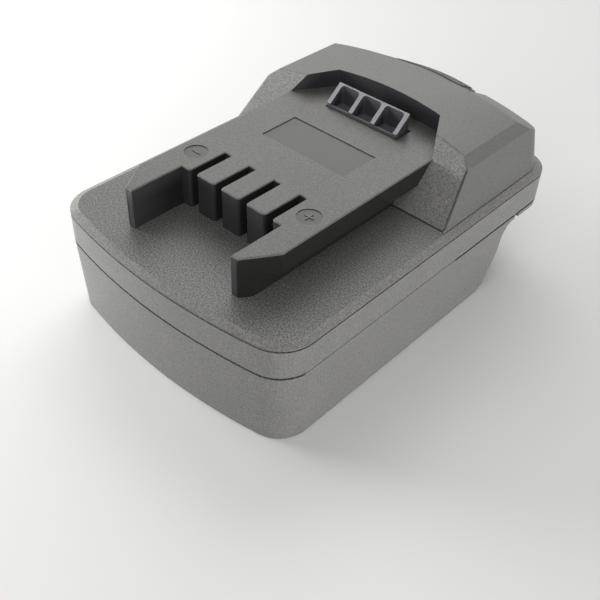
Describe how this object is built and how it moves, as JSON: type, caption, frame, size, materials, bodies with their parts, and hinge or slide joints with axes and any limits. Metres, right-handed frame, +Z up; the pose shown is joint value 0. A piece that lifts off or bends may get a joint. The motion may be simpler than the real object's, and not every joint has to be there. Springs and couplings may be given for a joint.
{
  "type": "tool battery adapter",
  "caption": "Adapter that slides on to one battery pack and gives a cordless tool of another system its rails, contacts and sprung latch.",
  "frame": {"origin": "middle of the casing's outline, on the surface that the skirt stands on", "axes": "+Z up through the rail platform, +Y towards the hump and the release button, +X across, on the plus side of the contacts"},
  "size_m": [0.078, 0.1134, 0.0465],
  "materials": {
    "housing_plastic": "fine spark-eroded grain",
    "latch_plastic": "smooth satin",
    "insulator_plastic": "satin",
    "spring_steel": "drawn wire",
    "contact_metal": "plated, satin",
    "board_laminate": "lacquered",
    "component_black": "matte",
    "capacitor_can": "satin",
    "red_insulation": "soft gloss",
    "black_insulation": "soft gloss",
    "white_insulation": "soft gloss",
    "screw_steel": "zinc plated"
  },
  "bodies": {
    "housing": {"upper_housing": "housing_plastic", "lower_housing": "housing_plastic", "latch_spring_left": "spring_steel", "latch_spring_right": "spring_steel", "contact_holder": "insulator_plastic", "contact_positive": "contact_metal", "contact_negative": "contact_metal", "contact_signal_left": "contact_metal", "contact_signal_right": "contact_metal", "circuit_board": "board_laminate", "controller_chip": "component_black", "power_transistors": "component_black", "chip_resistors": "component_black", "filter_capacitor": "capacitor_can", "terminal_block": "insulator_plastic", "blade_positive": "contact_metal", "blade_negative": "contact_metal", "blade_signal": "contact_metal", "positive_wire": "red_insulation", "negative_wire": "black_insulation", "signal_wire": "white_insulation", "wire_sleeves": "black_insulation", "housing_screws": "screw_steel", "block_screws": "screw_steel", "board_screws": "screw_steel"},
    "latch": {"latch_hook": "latch_plastic", "release_button": "latch_plastic"}
  },
  "joints": [
    {"name": "latch_slide", "type": "slide", "parent": "housing", "child": "latch", "axis": [0, 0, -1], "range_m": [0, 0.0058], "stiffness_N_per_m": 1000, "springref_m": -0.004, "deforming": ["latch_spring_left", "latch_spring_right"]}
  ]
}
